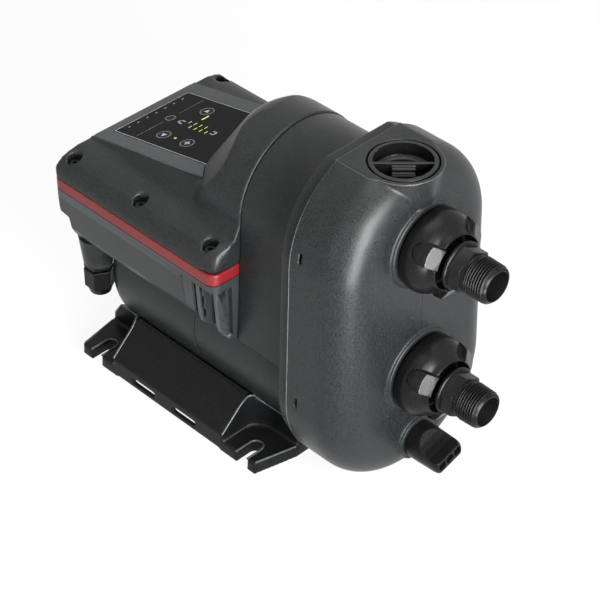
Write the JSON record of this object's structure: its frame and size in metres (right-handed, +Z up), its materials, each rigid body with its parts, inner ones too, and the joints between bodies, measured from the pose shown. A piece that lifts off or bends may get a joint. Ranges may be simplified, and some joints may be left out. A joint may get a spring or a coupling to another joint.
{
  "type": "self-priming booster pump",
  "caption": "Compact self-priming booster pump with integrated control box, swivel pipe connectors, priming and drain plugs, on a notched base plate.",
  "frame": {"origin": "centre of the overall footprint, on the floor", "axes": "+X towards the port connectors, +Z up"},
  "size_m": [0.4032, 0.193, 0.302],
  "materials": {
    "housing_composite": "fine moulded grain",
    "black_composite": "satin moulded",
    "bezel_grey": "smooth satin",
    "display_black": "gloss film",
    "key_black": "gloss film",
    "band_red": "satin",
    "seal_rubber": "moulded",
    "stainless": "turned",
    "bracket_aluminium": "cast",
    "lamination_steel": "stacked sheet",
    "winding_copper": "lacquered wire",
    "stage_plastic": "moulded",
    "seat_ceramic": "lapped",
    "tank_paint": "coated",
    "board_green": "solder mask",
    "sensor_brass": "turned"
  },
  "bodies": {
    "housing": {"base_plate": "black_composite", "base_screws": "stainless", "motor_casing": "housing_composite", "bearing_bracket": "bracket_aluminium", "stator_core": "lamination_steel", "stator_windings": "winding_copper", "rear_bearing": "stainless", "front_bearing": "stainless", "seal_seat": "seat_ceramic", "stage_bowl_1": "stage_plastic", "stage_bowl_2": "stage_plastic", "stage_bowl_3": "stage_plastic", "stage_end_plate": "stage_plastic", "pump_body": "housing_composite", "head_screws": "stainless", "head_gasket": "seal_rubber", "front_cover": "housing_composite", "suction_duct": "stage_plastic", "suction_valve_cage": "stage_plastic", "delivery_valve_cage": "stage_plastic", "pressure_tank": "tank_paint", "tank_bladder": "seal_rubber", "pressure_sensor": "sensor_brass", "motor_shroud": "housing_composite", "control_box_base": "housing_composite", "seal_band": "band_red", "control_box_cover": "housing_composite", "cover_screws": "stainless", "control_board": "board_green", "display_bezel": "bezel_grey", "display_window": "display_black", "gland_body": "black_composite"},
    "rotor": {"motor_shaft": "stainless", "rotor_core": "lamination_steel", "impeller_1": "stage_plastic", "impeller_2": "stage_plastic", "impeller_3": "stage_plastic", "impeller_nut": "stainless", "shaft_seal": "seal_rubber"},
    "delivery_valve": {"delivery_valve": "black_composite"},
    "suction_valve": {"suction_valve": "black_composite"},
    "key_up": {"key_up": "key_black"},
    "key_down": {"key_down": "key_black"},
    "key_start": {"key_start": "key_black"},
    "key_reset": {"key_reset": "key_black"},
    "gland_seal": {"gland_seal": "seal_rubber"},
    "gland_nut": {"gland_nut": "black_composite"},
    "upper_clamp_ring": {"upper_clamp_ring": "stage_plastic"},
    "upper_union_nut": {"upper_union_nut": "black_composite"},
    "upper_ball_seal": {"upper_ball_seal": "seal_rubber"},
    "upper_nipple": {"upper_nipple": "black_composite"},
    "lower_clamp_ring": {"lower_clamp_ring": "stage_plastic"},
    "lower_union_nut": {"lower_union_nut": "black_composite"},
    "lower_ball_seal": {"lower_ball_seal": "seal_rubber"},
    "lower_nipple": {"lower_nipple": "black_composite"},
    "priming_plug_seal": {"priming_plug_seal": "seal_rubber"},
    "priming_plug": {"priming_plug": "black_composite"},
    "drain_plug_seal": {"drain_plug_seal": "seal_rubber"},
    "drain_plug": {"drain_plug": "black_composite"}
  },
  "joints": [
    {"name": "shaft_spin", "type": "hinge", "parent": "housing", "child": "rotor", "pos_m": [-0.0926, 0, 0.085], "axis": [1, 0, 0], "continuous": true},
    {"name": "delivery_valve_lift", "type": "slide", "parent": "housing", "child": "delivery_valve", "axis": [1, 0, 0], "range_m": [0, 0.008], "stiffness_N_per_m": 60, "springref_m": -0.004},
    {"name": "suction_valve_lift", "type": "slide", "parent": "housing", "child": "suction_valve", "axis": [-1, 0, 0], "range_m": [0, 0.008], "stiffness_N_per_m": 60, "springref_m": -0.004},
    {"name": "key_up_press", "type": "slide", "parent": "housing", "child": "key_up", "axis": [0.1994, 0, -0.9799], "range_m": [0, 0.0005], "stiffness_N_per_m": 1500, "springref_m": -0.0003},
    {"name": "key_down_press", "type": "slide", "parent": "housing", "child": "key_down", "axis": [0.1994, 0, -0.9799], "range_m": [0, 0.0005], "stiffness_N_per_m": 1500, "springref_m": -0.0003},
    {"name": "key_start_press", "type": "slide", "parent": "housing", "child": "key_start", "axis": [0.1994, 0, -0.9799], "range_m": [0, 0.0005], "stiffness_N_per_m": 1500, "springref_m": -0.0003},
    {"name": "key_reset_press", "type": "slide", "parent": "housing", "child": "key_reset", "axis": [0.1994, 0, -0.9799], "range_m": [0, 0.0005], "stiffness_N_per_m": 1500, "springref_m": -0.0003},
    {"name": "upper_clamp_slide", "type": "slide", "parent": "housing", "child": "upper_clamp_ring", "axis": [1, 0, 0], "range_m": [0, 0.01205]},
    {"name": "upper_nut_turn", "type": "hinge", "parent": "upper_clamp_ring", "child": "upper_union_nut", "pos_m": [0.1406, 0, 0.237], "axis": [1, 0, 0], "range_deg": [0, 1440]},
    {"name": "upper_nipple_yaw", "type": "hinge", "parent": "housing", "child": "upper_ball_seal", "pos_m": [0.1406, 0, 0.237], "axis": [0, 0, 1], "range_deg": [-3.5, 3.5]},
    {"name": "upper_nipple_pitch", "type": "hinge", "parent": "upper_ball_seal", "child": "upper_nipple", "pos_m": [0.1406, 0, 0.237], "axis": [0, 1, 0], "range_deg": [-3.5, 3.5]},
    {"name": "lower_clamp_slide", "type": "slide", "parent": "housing", "child": "lower_clamp_ring", "axis": [1, 0, 0], "range_m": [0, 0.01205]},
    {"name": "lower_nut_turn", "type": "hinge", "parent": "lower_clamp_ring", "child": "lower_union_nut", "pos_m": [0.1406, 0, 0.113], "axis": [1, 0, 0], "range_deg": [0, 1440]},
    {"name": "lower_nipple_yaw", "type": "hinge", "parent": "housing", "child": "lower_ball_seal", "pos_m": [0.1406, 0, 0.113], "axis": [0, 0, 1], "range_deg": [-3.5, 3.5]},
    {"name": "lower_nipple_pitch", "type": "hinge", "parent": "lower_ball_seal", "child": "lower_nipple", "pos_m": [0.1406, 0, 0.113], "axis": [0, 1, 0], "range_deg": [-3.5, 3.5]},
    {"name": "priming_seal_rise", "type": "slide", "parent": "housing", "child": "priming_plug_seal", "axis": [0, 0, 1], "range_m": [0, 0.0186]},
    {"name": "priming_plug_turn", "type": "hinge", "parent": "priming_plug_seal", "child": "priming_plug", "pos_m": [0.1044, 0, 0.302], "axis": [0, 0, 1], "range_deg": [0, 2880]},
    {"name": "drain_seal_slide", "type": "slide", "parent": "housing", "child": "drain_plug_seal", "axis": [1, 0, 0], "range_m": [0, 0.0161]},
    {"name": "drain_plug_turn", "type": "hinge", "parent": "drain_plug_seal", "child": "drain_plug", "pos_m": [0.1316, 0, 0.04], "axis": [1, 0, 0], "range_deg": [0, 2880]},
    {"name": "gland_seal_drop", "type": "slide", "parent": "housing", "child": "gland_seal", "axis": [0, 0, -1], "range_m": [0, 0.0046]},
    {"name": "gland_nut_turn", "type": "hinge", "parent": "gland_seal", "child": "gland_nut", "pos_m": [-0.1776, -0.073, 0.074], "axis": [0, 0, -1], "range_deg": [0, 1080]}
  ],
  "couplings": [
    {"joint": "upper_clamp_slide", "follows": "upper_nut_turn", "m_per_rad": 0.00047746},
    {"joint": "lower_clamp_slide", "follows": "lower_nut_turn", "m_per_rad": 0.00047746},
    {"joint": "priming_seal_rise", "follows": "priming_plug_turn", "m_per_rad": 0.00036749},
    {"joint": "drain_seal_slide", "follows": "drain_plug_turn", "m_per_rad": 0.00031831},
    {"joint": "gland_seal_drop", "follows": "gland_nut_turn", "m_per_rad": 0.00023873}
  ]
}
